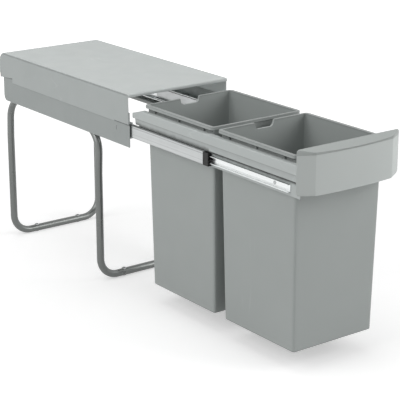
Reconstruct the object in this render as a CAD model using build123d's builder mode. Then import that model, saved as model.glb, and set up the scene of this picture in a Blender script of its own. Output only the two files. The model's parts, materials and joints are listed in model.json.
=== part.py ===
from build123d import *

from math import sqrt
import os

# Pull-out waste sorting unit with two bins for a narrow base cabinet, in millimetres.
# It is modelled drawn out to the end of its runners.
# The origin is on the floor, in the middle of the four floor screws.
# X runs across the unit, Y towards the back of the cabinet and Z up.
# Pieces of the left side have negative X, and the right side mirrors them.

# Floor frame
leg_spacing = 371.0
screw_spacing = 114.0
tube_diameter = 16.0
tube_wall = 1.5
foot_bend_radius = 42.0
top_bend_radius = 50.0
tube_run_drop = 24.5
tube_side_gap = 0.4
leg_spread = 3.2
leg_spread_drop = 91.5
leg_spread_radius = 400.0
tube_joint_gap = 0.3
joiner_length = 80.0
joiner_clearance = 0.1
bush_bore = 5.5
bush_diameter = 9.0
bush_collar_diameter = 11.0
bush_collar_height = 1.0
bush_clearance = 0.1

# Housing
housing_width = 250.0
cover_length = 500.0
cover_height = 438.0
front_overhang = 128.5
lid_thickness = 2.0
lid_hem = 7.0
lid_rear_radius = 25.0
lid_rear_drop = 24.0
lid_edge_round = 0.8
skirt_thickness = 1.0
skirt_inset = 0.4
skirt_flange = 14.0
skirt_depth = 64.5
skirt_front_setback = 2.0
skirt_slot_length = 54.0
skirt_slot_height = 1.8
skirt_notch_length = 54.0
skirt_notch_height = 11.0
skirt_notch_fall = 5.0
plate_thickness = 1.2
plate_rail_reach = 33.5
plate_top_drop = 38.0
plate_tail = 10.5
plate_corner_radius = 12.0
plate_front_round = 1.0
plate_skirt_gap = 0.2
plate_slot_width = 2.0
plate_slot_height = 8.0
plate_slot_setback = 47.0
cross_bar_drop = 15.0
cross_bar_lid_gap = 12.0
cross_bar_thickness = 1.2
cross_bar_flange = 5.0
cross_bar_setback = 4.0

# Runners
rail_drop = 77.0
rail_front_setback = 4.0
rail_rear_setback = 6.0
outer_height = 32.0
outer_depth = 11.0
outer_sheet = 1.2
middle_height = 26.0
middle_standoff = 2.2
middle_depth = 11.0
middle_sheet = 1.4
inner_height = 15.0
inner_lip = 5.6
inner_back = 12.7
inner_sheet = 1.2
sheet_bend_radius = 1.6
outer_ball_diameter = 3.0
outer_ball_depth = 5.0
inner_ball_diameter = 5.0
inner_ball_depth = 8.6
ball_clearance = 0.1
ball_pitch = 22.0
balls_in_row = 6
cage_end_margin = 12.0
outer_cage_sheet = 0.5
outer_cage_standoff = 1.45
outer_cage_depth = 7.6
inner_cage_sheet = 0.6
inner_cage_standoff = 3.9
inner_cage_depth = 12.1
bumper_length = 16.0
bumper_web = 2.7
bumper_clearance = 0.7
rivet_diameter = 4.0
rivet_head_diameter = 6.5
rivet_head_height = 0.7
rivet_clearance = 0.05
blind_skin = 0.4
rivet_end_margin = 43.0
outer_rivet_head = 0.6
outer_rivet_sink = 0.1

# Runner release levers
lever_length = 76.0
lever_thickness = 4.0
lever_height = 4.8
lever_standoff = 5.4
lever_tab_length = 14.0
lever_tab_reach = 5.0
lever_pin_diameter = 3.0
lever_pin_clearance = 0.05
lever_tail = 12.0

# Carriage
carriage_front_gap = 3.0
panel_standoff = 9.8
carriage_rear_setback = 5.0
carriage_rise = 48.1
carriage_shoulder_rise = 16.9
carriage_drop = 15.0
carriage_side_gap = 3.1
carriage_top_flange = 12.6
carriage_crease_drop = 18.1
carriage_crease_inset = 1.5
carriage_sheet = 1.2
carriage_nose_drop = 8.0
carriage_nose_length = 26.0
carriage_step_length = 9.0
bar_height = 24.0
bar_width = 12.0
bar_drop = 11.0
bar_sheet = 1.5
front_bar_top_gap = 5.1
front_bar_height = 42.0
front_bar_depth = 8.0

# Front panel
panel_width = 246.0
panel_drop = 7.0
panel_rise = 1.0
panel_band_height = 8.0
panel_depth = 22.0
panel_bow = 5.0
panel_facet = 31.0
panel_wall = 2.5
panel_corner_radius = 6.0
boss_diameter = 9.0
boss_spacing_x = 140.0
boss_spacing_z = 26.0
panel_screw_diameter = 4.0
panel_screw_head = 7.5
panel_screw_head_height = 2.4
panel_screw_bite = 9.0

# Bins
bin_bottom = 41.5
bin_side_draft = 7.5
bin_end_draft = 5.5
bin_wall = 2.0
bin_floor = 2.5
bin_corner_radius = 5.0
bin_floor_round = 3.0
rim_height = 12.9
rim_bearing = 3.5
rim_side_reach = 6.0
rim_end_reach = 3.0
rim_thickness = 1.8
rim_round = 0.7
bin_gap = 16.0
rear_bin_setback = 33.5
rail_bin_setback = 9.5
bin_seat_gap = 0.0
scoop_width = 46.0
scoop_depth = 13.0
scoop_radius = 9.0
scoop_lip = 1.8

# Small fixings
leg_screw_diameter = 5.0
leg_screw_head = 9.0
leg_screw_head_height = 1.8
leg_screw_clearance = 0.05
leg_screw_access = 9.6
leg_screw_inset = 70.0
skirt_rivet_diameter = 5.0
skirt_rivet_drop = 11.0
lid_screw_diameter = 4.0
lid_screw_head = 8.0
lid_screw_head_height = 2.2
lid_screw_bite = 1.3
lid_screw_inset = 8.0
lid_screw_end_margin = 45.0

# Places that follow from the driving dimensions
front_leg_y = -leg_spacing / 2
rear_leg_y = leg_spacing / 2
front_y = front_leg_y - front_overhang
cover_rear_y = front_y + cover_length
tube_radius = tube_diameter / 2
lid_bottom = cover_height - lid_thickness
skirt_bottom = cover_height - skirt_depth
plate_top = cover_height - plate_top_drop
skirt_rivet_height = plate_top - skirt_rivet_drop
cross_bar_top = lid_bottom - cross_bar_lid_gap
skirt_face_x = housing_width / 2 - skirt_inset
plate_face_x = skirt_face_x - skirt_thickness - plate_skirt_gap
plate_inner_x = plate_face_x - plate_thickness
run_x = plate_inner_x - tube_radius - tube_side_gap
leg_x = run_x + leg_spread
rail_z = cover_height - rail_drop
tube_run_height = rail_z - tube_run_drop
leg_spread_height = tube_run_height - leg_spread_drop
plate_bottom = rail_z - plate_rail_reach
cross_bar_bottom = rail_z - cross_bar_drop
rail_length = cover_length - rail_front_setback - rail_rear_setback
travel = rail_length
rail_front_y = front_y + rail_front_setback
rail_rear_y = rail_front_y + rail_length
middle_front_y = rail_front_y - travel / 2
inner_front_y = rail_front_y - travel
inner_rear_y = inner_front_y + rail_length
outer_ball_z = (outer_height / 2 - outer_sheet + middle_height / 2) / 2
inner_ball_z = (middle_height / 2 - middle_sheet + inner_height / 2) / 2
cage_length = (balls_in_row - 1) * ball_pitch + 2 * cage_end_margin
outer_cage_y = (rail_front_y + middle_front_y + rail_length) / 2
inner_cage_y = (middle_front_y + inner_rear_y) / 2
flange_x = plate_inner_x - inner_back
flange_inner_x = flange_x - carriage_sheet
carriage_outer = plate_inner_x - carriage_side_gap
carriage_lip = carriage_outer - carriage_top_flange
carriage_top = rail_z + carriage_rise
carriage_shoulder = rail_z + carriage_shoulder_rise
carriage_bottom = rail_z - carriage_drop
carriage_crease = carriage_top - carriage_crease_drop
bin_mouth_width = 2 * (carriage_lip + rim_bearing - rim_side_reach)
bin_floor_width = bin_mouth_width - 2 * bin_side_draft
bin_row_rear_y = front_y - rear_bin_setback
bins_front_y = inner_front_y - rail_bin_setback
bin_mouth_length = (bin_row_rear_y - bins_front_y - bin_gap) / 2 - 2 * rim_end_reach
bin_floor_length = bin_mouth_length - 2 * bin_end_draft
rear_bin_y = bin_row_rear_y - rim_end_reach - bin_mouth_length / 2
bin_pitch = bin_mouth_length + 2 * rim_end_reach + bin_gap
front_bin_y = rear_bin_y - bin_pitch
rim_bottom = carriage_top + bin_seat_gap
bin_rim_top = rim_bottom + rim_height
front_bar_y = bins_front_y - carriage_sheet - front_bar_depth
panel_back_y = front_bar_y - panel_standoff
carriage_front_y = panel_back_y + carriage_front_gap
carriage_rear_y = front_y - carriage_rear_setback
panel_face_y = panel_back_y - panel_depth
screw_columns = [-screw_spacing / 2, screw_spacing / 2]
screw_places = [(x, y) for x in screw_columns for y in (front_leg_y, rear_leg_y)]
rivet_places = [rail_front_y + rivet_end_margin, rail_front_y + rail_length / 2,
                rail_rear_y - rivet_end_margin]
inner_rivet_places = [y - travel for y in rivet_places]
leg_screw_places = [front_leg_y + leg_screw_inset, rear_leg_y - leg_screw_inset]
skirt_fixing_places = [front_y + lid_screw_end_margin, front_y + cover_length / 2,
                       cover_rear_y - lid_screw_end_margin]
lid_screw_x = skirt_face_x - lid_screw_inset
lid_screw_places = [(x, y) for x in (-lid_screw_x, lid_screw_x) for y in skirt_fixing_places]
bar_bottom = rail_z - bar_drop
front_bar_top = carriage_top - front_bar_top_gap
front_bar_bottom = front_bar_top - front_bar_height
panel_bottom = rail_z - panel_drop
panel_top = cover_height + panel_rise
front_bar_z = (front_bar_bottom + front_bar_top) / 2
boss_rows = [front_bar_z - boss_spacing_z / 2, front_bar_z + boss_spacing_z / 2]
boss_places = [(x, z) for x in (-boss_spacing_x / 2, boss_spacing_x / 2) for z in boss_rows]

os.makedirs("parts", exist_ok=True)


def keep(piece, name):
    """Labels a finished piece and writes it to its own file."""
    piece.part.label = name
    export_step(piece.part, f"parts/{name}.step")


def across(y):
    """Plane square to the runners at y, with X and Z as its own axes; it faces the front."""
    return Plane.XZ.offset(-y)


def from_left(x):
    """Plane square to X, with Y and Z as its own axes; it faces right."""
    return Plane.YZ.offset(x)


def runner_x(depth):
    """Place of a runner's section on the left side, depth inwards from the side plate."""
    return depth - plate_inner_x


def channel_points(lip, web, half_height):
    """Middle line of a C of bent sheet, open towards the lip."""
    return [(runner_x(lip), rail_z + half_height), (runner_x(web), rail_z + half_height),
            (runner_x(web), rail_z - half_height), (runner_x(lip), rail_z - half_height)]


def both_sides(left, name):
    """Keeps a left piece and its mirror image on the right."""
    with BuildPart() as right:
        mirror(left.part, about=Plane.YZ)
    keep(left, name + "_left")
    keep(right, name + "_right")


# Tube frame: a front and a rear hoop whose upper runs meet behind the side plates
def leg_frame(leg_y, end_y):
    """Hoop of bent tube: floor bar, two legs, and runs along the side plates to end_y."""
    turn = 1 if end_y > leg_y else -1
    left = [(-run_x, end_y, tube_run_height), (-run_x, leg_y, tube_run_height),
            (-leg_x, leg_y, leg_spread_height), (-leg_x, leg_y, tube_radius)]
    route = left + [(-x, y, z) for x, y, z in reversed(left)]
    left_radii = [top_bend_radius, leg_spread_radius, foot_bend_radius]
    radii = left_radii + left_radii[::-1]
    start = Plane(origin=route[0], x_dir=(1, 0, 0), z_dir=(0, -turn, 0))
    with BuildPart() as frame:
        with BuildLine() as path:
            FilletPolyline(*route, radius=radii)
        with BuildSketch(start):
            Circle(tube_radius)
            Circle(tube_radius - tube_wall, mode=Mode.SUBTRACT)
        sweep(path=path.line)
        with BuildSketch(Plane.XY):
            with Locations(*[(x, leg_y) for x in screw_columns]):
                Circle(bush_diameter / 2 + bush_clearance)
        extrude(amount=tube_diameter, mode=Mode.SUBTRACT)
        with BuildSketch(from_left(-plate_inner_x)):
            with Locations((leg_y + turn * leg_screw_inset, tube_run_height)):
                Circle(leg_screw_diameter / 2 + leg_screw_clearance)
        extrude(amount=2 * plate_inner_x, mode=Mode.SUBTRACT)
        with BuildSketch(from_left(-run_x)):
            with Locations((leg_y + turn * leg_screw_inset, tube_run_height)):
                Circle(leg_screw_access / 2)
        extrude(amount=2 * run_x, mode=Mode.SUBTRACT)
    return frame


front_leg_frame = leg_frame(front_leg_y, -tube_joint_gap / 2)
keep(front_leg_frame, "front_leg_frame")

rear_leg_frame = leg_frame(rear_leg_y, tube_joint_gap / 2)
keep(rear_leg_frame, "rear_leg_frame")

with BuildPart() as tube_joiners:
    with BuildSketch(across(joiner_length / 2)):
        with Locations((-run_x, tube_run_height), (run_x, tube_run_height)):
            Circle(tube_radius - tube_wall - joiner_clearance)
    extrude(amount=joiner_length)
keep(tube_joiners, "tube_joiners")

with BuildPart() as floor_bushes:
    with BuildSketch(Plane.XY):
        with Locations(*screw_places):
            Circle(bush_diameter / 2)
    extrude(amount=tube_diameter)
    with BuildSketch(Plane.XY.offset(tube_diameter)):
        with Locations(*screw_places):
            Circle(bush_collar_diameter / 2)
    extrude(amount=bush_collar_height)
    with BuildSketch(Plane.XY):
        with Locations(*screw_places):
            Circle(bush_bore / 2)
    extrude(amount=tube_diameter + bush_collar_height, mode=Mode.SUBTRACT)
keep(floor_bushes, "floor_bushes")

with BuildPart() as leg_screws:
    tube_inside = tube_radius - tube_wall
    head_x = run_x + sqrt(tube_inside**2 - (leg_screw_head / 2) ** 2)
    for side in (-1, 1):
        with BuildSketch(from_left(side * head_x)):
            with Locations(*[(y, tube_run_height) for y in leg_screw_places]):
                Circle(leg_screw_diameter / 2)
        extrude(amount=side * (plate_face_x - blind_skin - head_x))
        with BuildSketch(from_left(side * head_x)):
            with Locations(*[(y, tube_run_height) for y in leg_screw_places]):
                Circle(leg_screw_head / 2)
        extrude(amount=-side * leg_screw_head_height)
keep(leg_screws, "leg_screws")


# Cover: a lid of bent sheet over two side skirts
with BuildPart() as lid_panel:
    outer_rear = cover_rear_y + lid_rear_radius
    curve_z = cover_height - lid_rear_radius
    with BuildSketch(from_left(-housing_width / 2)):
        with BuildLine():
            Polyline((cover_rear_y, lid_bottom), (front_y + lid_thickness, lid_bottom),
                     (front_y + lid_thickness, cover_height - lid_hem), (front_y, cover_height - lid_hem),
                     (front_y, cover_height), (cover_rear_y, cover_height))
            RadiusArc((cover_rear_y, cover_height), (outer_rear, curve_z), lid_rear_radius)
            Polyline((outer_rear, curve_z), (outer_rear, curve_z - lid_rear_drop),
                     (outer_rear - lid_thickness, curve_z - lid_rear_drop),
                     (outer_rear - lid_thickness, curve_z))
            RadiusArc((outer_rear - lid_thickness, curve_z), (cover_rear_y, lid_bottom),
                      lid_thickness - lid_rear_radius)
        make_face()
    extrude(amount=housing_width)
    fillet(lid_panel.edges().group_by(Axis.Z)[-1].filter_by(Axis.Y), lid_edge_round)
    with BuildSketch(Plane.XY.offset(lid_bottom)):
        with Locations(*lid_screw_places):
            Circle(lid_screw_diameter / 2)
    extrude(amount=lid_screw_bite, mode=Mode.SUBTRACT)
keep(lid_panel, "lid_panel")

skirt_rear_y = cover_rear_y + lid_rear_radius - lid_thickness
with BuildPart() as skirt:
    with BuildSketch(across(skirt_rear_y)):
        with BuildLine():
            half = skirt_thickness / 2
            web_x = half - skirt_face_x
            FilletPolyline((skirt_flange - skirt_face_x, lid_bottom - half), (web_x, lid_bottom - half),
                           (web_x, skirt_bottom), radius=sheet_bend_radius)
        trace(line_width=skirt_thickness)
    extrude(amount=skirt_rear_y - front_y - skirt_front_setback)
    with BuildSketch(from_left(-skirt_face_x)):
        curve_bottom = lid_bottom - lid_rear_radius + lid_thickness
        slot_y = front_y + skirt_slot_length
        slot_z = skirt_bottom + skirt_slot_height
        notch_y = skirt_rear_y - skirt_notch_length
        notch_z = skirt_bottom + skirt_notch_height
        notch_rear_z = notch_z - skirt_notch_fall
        with BuildLine():
            Polyline((cover_rear_y, lid_bottom), (front_y, lid_bottom), (front_y, slot_z), (slot_y, slot_z),
                     (slot_y, skirt_bottom), (notch_y, skirt_bottom), (notch_y, notch_z),
                     (skirt_rear_y, notch_rear_z), (skirt_rear_y, curve_bottom))
            RadiusArc((skirt_rear_y, curve_bottom), (cover_rear_y, lid_bottom),
                      lid_thickness - lid_rear_radius)
        make_face()
    extrude(amount=skirt_flange + skirt_thickness, mode=Mode.INTERSECT)
    with BuildSketch(from_left(blind_skin - skirt_face_x)):
        with Locations(*[(y, skirt_rivet_height) for y in skirt_fixing_places]):
            Circle(skirt_rivet_diameter / 2 + rivet_clearance)
    extrude(amount=skirt_thickness, mode=Mode.SUBTRACT)
    with BuildSketch(Plane.XY.offset(lid_bottom - skirt_thickness)):
        with Locations(*[(-lid_screw_x, y) for y in skirt_fixing_places]):
            Circle(lid_screw_diameter / 2 + rivet_clearance)
    extrude(amount=skirt_thickness, mode=Mode.SUBTRACT)
both_sides(skirt, "skirt")

with BuildPart() as lid_screws:
    with BuildSketch(Plane.XY.offset(lid_bottom - skirt_thickness)):
        with Locations(*lid_screw_places):
            Circle(lid_screw_diameter / 2)
    extrude(amount=skirt_thickness + lid_screw_bite)
    with BuildSketch(Plane.XY.offset(lid_bottom - skirt_thickness)):
        with Locations(*lid_screw_places):
            Circle(lid_screw_head / 2)
    extrude(amount=-lid_screw_head_height)
keep(lid_screws, "lid_screws")


# Side plates, which carry the outer runners and stand on the tube frame
plate_rear_y = cover_rear_y + plate_tail
with BuildPart() as side_plate:
    with BuildSketch(from_left(-plate_face_x)):
        with BuildLine():
            FilletPolyline((front_y, plate_top), (front_y, plate_bottom), (plate_rear_y, plate_bottom),
                           (plate_rear_y, plate_top), radius=[plate_front_round, plate_corner_radius])
            Line((plate_rear_y, plate_top), (front_y, plate_top))
        make_face()
        with Locations(*[(y, skirt_rivet_height) for y in skirt_fixing_places]):
            Circle(skirt_rivet_diameter / 2 + rivet_clearance, mode=Mode.SUBTRACT)
        with Locations((front_y + plate_slot_setback, rail_z)):
            RectangleRounded(plate_slot_width, plate_slot_height, plate_slot_width / 2 - rivet_clearance,
                             mode=Mode.SUBTRACT)
    extrude(amount=plate_thickness)
    with BuildSketch(from_left(blind_skin - plate_face_x)):
        with Locations(*[(y, rail_z) for y in rivet_places]):
            Circle(rivet_diameter / 2 + rivet_clearance)
        with Locations(*[(y, tube_run_height) for y in leg_screw_places]):
            Circle(leg_screw_diameter / 2 + leg_screw_clearance)
    extrude(amount=plate_thickness, mode=Mode.SUBTRACT)
both_sides(side_plate, "side_plate")

with BuildPart() as skirt_rivets:
    for side in (-1, 1):
        with BuildSketch(from_left(side * plate_inner_x)):
            with Locations(*[(y, skirt_rivet_height) for y in skirt_fixing_places]):
                Circle(skirt_rivet_diameter / 2)
        extrude(amount=side * (skirt_face_x - blind_skin - plate_inner_x))
keep(skirt_rivets, "skirt_rivets")

with BuildPart() as rear_cross_bar:
    web_y = cover_rear_y + cross_bar_setback
    with BuildSketch(from_left(-plate_inner_x)):
        with BuildLine():
            half = cross_bar_thickness / 2
            FilletPolyline((web_y + cross_bar_flange, cross_bar_top - half),
                           (web_y + half, cross_bar_top - half),
                           (web_y + half, cross_bar_bottom + half),
                           (web_y + cross_bar_flange, cross_bar_bottom + half), radius=sheet_bend_radius)
        trace(line_width=cross_bar_thickness)
    extrude(amount=2 * plate_inner_x)
keep(rear_cross_bar, "rear_cross_bar")


# Runners: an outer, a middle and an inner rail on each side, running on caged balls
def ball_tracks(depth, height):
    """Centres of the upper and the lower ball row in a runner's section."""
    return [(runner_x(depth), rail_z + height), (runner_x(depth), rail_z - height)]


with BuildPart() as outer_rail:
    with BuildSketch(across(rail_rear_y)):
        with BuildLine():
            FilletPolyline(*channel_points(outer_depth, outer_sheet / 2, (outer_height - outer_sheet) / 2),
                           radius=sheet_bend_radius)
        trace(line_width=outer_sheet)
        with Locations(*ball_tracks(outer_ball_depth, outer_ball_z)):
            Circle(outer_ball_diameter / 2 + ball_clearance, mode=Mode.SUBTRACT)
    extrude(amount=rail_length)
    with BuildSketch(from_left(-plate_inner_x)):
        with Locations(*[(y, rail_z) for y in rivet_places]):
            Circle(rivet_diameter / 2 + rivet_clearance)
    extrude(amount=outer_sheet, mode=Mode.SUBTRACT)
    with BuildSketch(from_left(outer_sheet - plate_inner_x)):
        with Locations(*[(y, rail_z) for y in rivet_places]):
            Circle(rivet_head_diameter / 2 + rivet_clearance)
    extrude(amount=-outer_rivet_head - outer_rivet_sink, mode=Mode.SUBTRACT)
both_sides(outer_rail, "outer_rail")

with BuildPart() as middle_rail:
    with BuildSketch(across(middle_front_y + rail_length)):
        with BuildLine():
            FilletPolyline(*channel_points(middle_depth, middle_standoff + middle_sheet / 2,
                                           (middle_height - middle_sheet) / 2), radius=sheet_bend_radius)
        trace(line_width=middle_sheet)
        with Locations(*ball_tracks(outer_ball_depth, outer_ball_z)):
            Circle(outer_ball_diameter / 2 + ball_clearance, mode=Mode.SUBTRACT)
        with Locations(*ball_tracks(inner_ball_depth, inner_ball_z)):
            Circle(inner_ball_diameter / 2 + ball_clearance, mode=Mode.SUBTRACT)
    extrude(amount=rail_length)
both_sides(middle_rail, "middle_rail")

with BuildPart() as inner_rail:
    with BuildSketch(across(inner_rear_y)):
        with BuildLine():
            FilletPolyline(*channel_points(inner_lip, inner_back - inner_sheet / 2,
                                           (inner_height - inner_sheet) / 2), radius=sheet_bend_radius)
        trace(line_width=inner_sheet)
        with Locations(*ball_tracks(inner_ball_depth, inner_ball_z)):
            Circle(inner_ball_diameter / 2 + ball_clearance, mode=Mode.SUBTRACT)
    extrude(amount=rail_length)
    with BuildSketch(from_left(-flange_x)):
        with Locations(*[(y, rail_z) for y in inner_rivet_places]):
            Circle(rivet_diameter / 2 + rivet_clearance)
    extrude(amount=-inner_sheet, mode=Mode.SUBTRACT)
both_sides(inner_rail, "inner_rail")


def ball_places(centre_y):
    """Places of a cage's balls along the runner."""
    return [centre_y + (n - (balls_in_row - 1) / 2) * ball_pitch for n in range(balls_in_row)]


def ball_cage(centre_y, lip, standoff, sheet, depth, height, ball_diameter):
    """C of thin sheet with a row of holes for the balls in each flange."""
    with BuildPart() as cage:
        with BuildSketch(across(centre_y + cage_length / 2)):
            with BuildLine():
                FilletPolyline(*channel_points(lip, standoff + sheet / 2, height),
                               radius=sheet_bend_radius / 2)
            trace(line_width=sheet)
        extrude(amount=cage_length)
        with BuildSketch(Plane.XY.offset(rail_z - height - ball_diameter / 2)):
            with Locations(*[(runner_x(depth), y) for y in ball_places(centre_y)]):
                Circle(ball_diameter / 2 + ball_clearance)
        extrude(amount=2 * height + ball_diameter, mode=Mode.SUBTRACT)
    return cage


def ball_rows(centre_y, depth, height, ball_diameter):
    """The balls of one cage, in an upper and a lower row."""
    with BuildPart() as balls:
        for x, z in ball_tracks(depth, height):
            with Locations(*[(x, y, z) for y in ball_places(centre_y)]):
                Sphere(ball_diameter / 2)
    return balls


both_sides(ball_cage(outer_cage_y, outer_cage_depth, outer_cage_standoff, outer_cage_sheet,
                     outer_ball_depth, outer_ball_z, outer_ball_diameter), "outer_ball_cage")
both_sides(ball_rows(outer_cage_y, outer_ball_depth, outer_ball_z, outer_ball_diameter), "outer_balls")
both_sides(ball_cage(inner_cage_y, inner_cage_depth, inner_cage_standoff, inner_cage_sheet,
                     inner_ball_depth, inner_ball_z, inner_ball_diameter), "inner_ball_cage")
both_sides(ball_rows(inner_cage_y, inner_ball_depth, inner_ball_z, inner_ball_diameter), "inner_balls")

with BuildPart() as rail_bumper:
    with BuildSketch(across(middle_front_y)):
        with BuildLine():
            inner_half = inner_height / 2 + bumper_clearance
            outer_half = middle_height / 2
            lip_x = runner_x(middle_depth)
            back_x = runner_x(middle_standoff)
            web_x = back_x + bumper_web
            Polyline((lip_x, rail_z + outer_half), (back_x, rail_z + outer_half),
                     (back_x, rail_z - outer_half), (lip_x, rail_z - outer_half),
                     (lip_x, rail_z - inner_half), (web_x, rail_z - inner_half),
                     (web_x, rail_z + inner_half), (lip_x, rail_z + inner_half), close=True)
        make_face()
    extrude(amount=bumper_length)
    fillet(rail_bumper.faces().sort_by(Axis.Y)[0].edges().group_by(Axis.X)[0], rim_round)
both_sides(rail_bumper, "rail_bumper")

with BuildPart() as rail_rivets:
    for side in (-1, 1):
        head_face_x = plate_inner_x - outer_sheet + outer_rivet_sink
        with BuildSketch(from_left(side * head_face_x)):
            with Locations(*[(y, rail_z) for y in rivet_places]):
                Circle(rivet_diameter / 2)
        extrude(amount=side * (plate_face_x - blind_skin - head_face_x))
        with BuildSketch(from_left(side * head_face_x)):
            with Locations(*[(y, rail_z) for y in rivet_places]):
                Circle(rivet_head_diameter / 2)
        extrude(amount=side * outer_rivet_head)
keep(rail_rivets, "rail_rivets")

with BuildPart() as carriage_rivets:
    for side in (-1, 1):
        with BuildSketch(from_left(side * flange_inner_x)):
            with Locations(*[(y, rail_z) for y in inner_rivet_places]):
                Circle(rivet_diameter / 2)
        extrude(amount=side * (carriage_sheet + inner_sheet))
        with BuildSketch(from_left(side * (flange_x + inner_sheet))):
            with Locations(*[(y, rail_z) for y in inner_rivet_places]):
                Circle(rivet_head_diameter / 2)
        extrude(amount=side * rivet_head_height)
keep(carriage_rivets, "carriage_rivets")


# Release levers inside the inner rails, which let the carriage come off its runners
lever_front_y = middle_front_y - bumper_length - lever_tab_reach
lever_pin_y = lever_front_y + lever_length - lever_tail
with BuildPart() as release_lever:
    with BuildSketch(from_left(runner_x(lever_standoff))):
        with BuildLine():
            half = lever_height / 2
            end_y = lever_front_y + lever_length
            tab_y = lever_front_y + lever_tab_length
            Polyline((lever_front_y, rail_z - half), (end_y - half, rail_z - half))
            ThreePointArc((end_y - half, rail_z - half), (end_y, rail_z), (end_y - half, rail_z + half))
            Polyline((end_y - half, rail_z + half), (tab_y, rail_z + half),
                     (lever_front_y, rail_z), (lever_front_y, rail_z - half))
        make_face()
        with Locations((lever_pin_y, rail_z)):
            Circle(lever_pin_diameter / 2 + lever_pin_clearance, mode=Mode.SUBTRACT)
    extrude(amount=lever_thickness)
both_sides(release_lever, "release_lever")

with BuildPart() as lever_pins:
    for side in (-1, 1):
        with BuildSketch(from_left(side * (flange_x + inner_sheet))):
            with Locations((lever_pin_y, rail_z)):
                Circle(lever_pin_diameter / 2)
        extrude(amount=side * (inner_back - inner_sheet - lever_standoff))
keep(lever_pins, "lever_pins")


# Carriage: two side profiles on the inner rails, tied by three bars
with BuildPart() as carriage_side:
    half = carriage_sheet / 2
    with BuildSketch(across(carriage_rear_y)):
        with BuildLine():
            web_x = half - carriage_outer
            shoulder_z = carriage_shoulder + half
            FilletPolyline((-carriage_lip, carriage_top - half), (web_x, carriage_top - half),
                           (web_x, carriage_crease), (web_x + carriage_crease_inset, shoulder_z),
                           (half - flange_x, shoulder_z), (half - flange_x, carriage_bottom),
                           radius=sheet_bend_radius)
        trace(line_width=carriage_sheet)
    extrude(amount=carriage_rear_y - carriage_front_y)
    with BuildSketch(from_left(-carriage_outer)):
        with BuildLine():
            step_y = carriage_rear_y - carriage_step_length
            nose_y = carriage_rear_y - carriage_nose_length
            Polyline((carriage_front_y, carriage_top), (nose_y, carriage_top),
                     (carriage_rear_y, carriage_top - carriage_nose_drop),
                     (carriage_rear_y, carriage_crease), (step_y, carriage_crease),
                     (step_y, carriage_bottom), (carriage_front_y, carriage_bottom), close=True)
        make_face()
    extrude(amount=carriage_outer - carriage_lip, mode=Mode.INTERSECT)
    with BuildSketch(from_left(-flange_x)):
        with Locations(*[(y, rail_z) for y in inner_rivet_places]):
            Circle(rivet_diameter / 2 + rivet_clearance)
    extrude(amount=carriage_sheet, mode=Mode.SUBTRACT)
both_sides(carriage_side, "carriage_side")


def tie_bar(centre_y):
    """Rectangular tube across the carriage, welded to both side profiles."""
    with BuildPart() as bar:
        with BuildSketch(from_left(-flange_inner_x)):
            with Locations((centre_y, bar_bottom + bar_height / 2)):
                Rectangle(bar_width, bar_height)
                Rectangle(bar_width - 2 * bar_sheet, bar_height - 2 * bar_sheet, mode=Mode.SUBTRACT)
        extrude(amount=2 * flange_inner_x)
    return bar


keep(tie_bar((rear_bin_y + front_bin_y) / 2), "carriage_middle_bar")
keep(tie_bar(rear_bin_y + bin_mouth_length / 2 + rim_end_reach + bar_width / 2), "carriage_rear_bar")

with BuildPart() as carriage_front_bar:
    half = bar_sheet / 2
    rear_lip_y = front_bar_y + front_bar_depth
    with BuildSketch(from_left(-flange_inner_x)):
        with BuildLine():
            web_y = front_bar_y + half
            FilletPolyline((rear_lip_y, front_bar_top - half), (web_y, front_bar_top - half),
                           (web_y, front_bar_bottom + half), (rear_lip_y, front_bar_bottom + half),
                           radius=sheet_bend_radius)
        trace(line_width=bar_sheet)
    extrude(amount=2 * flange_inner_x)
    with BuildSketch(across(front_bar_y + bar_sheet)):
        with Locations(*boss_places):
            Circle(panel_screw_diameter / 2 + rivet_clearance)
    extrude(amount=bar_sheet, mode=Mode.SUBTRACT)
keep(carriage_front_bar, "carriage_front_bar")


# Front panel: a bowed tray of moulded plastic, with a grip strip along its top
def panel_plan(inset):
    """Outline of the panel seen from above, inset by a wall."""
    side_x = panel_width / 2 - inset
    facet_x = panel_width / 2 - panel_facet - inset / 2
    facet_y = panel_face_y + panel_bow + inset
    Polyline((-facet_x, facet_y), (-side_x, panel_back_y), (side_x, panel_back_y), (facet_x, facet_y))
    ThreePointArc((facet_x, facet_y), (0, panel_face_y + inset), (-facet_x, facet_y))


panel_band_z = panel_top - panel_band_height
with BuildPart() as panel_block:
    with BuildSketch(Plane.XY.offset(panel_bottom)):
        with BuildLine():
            panel_plan(0)
        make_face()
    extrude(amount=panel_top - panel_bottom)
    with BuildSketch(from_left(-panel_width / 2)):
        with BuildLine():
            Polyline((panel_face_y - panel_bow, panel_top), (panel_back_y, panel_top),
                     (panel_face_y - panel_bow, panel_band_z), close=True)
        make_face()
    extrude(amount=panel_width, mode=Mode.SUBTRACT)
    with BuildSketch(across(panel_back_y)):
        with Locations((0, (panel_bottom + panel_top) / 2)):
            RectangleRounded(panel_width, panel_top - panel_bottom, panel_corner_radius)
    extrude(amount=panel_depth + panel_bow, mode=Mode.INTERSECT)

with BuildPart() as panel_hollow:
    with BuildSketch(Plane.XY.offset(panel_bottom + panel_wall)):
        with BuildLine():
            panel_plan(panel_wall)
        make_face()
    extrude(amount=panel_band_z - panel_bottom - 2 * panel_wall)

with BuildPart() as panel_split:
    with BuildSketch(Plane.XY.offset(panel_band_z - panel_wall)):
        with Locations((0, panel_back_y - panel_depth / 2)):
            Rectangle(2 * panel_width, 4 * panel_depth)
    extrude(amount=panel_band_height + 2 * panel_wall)

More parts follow.
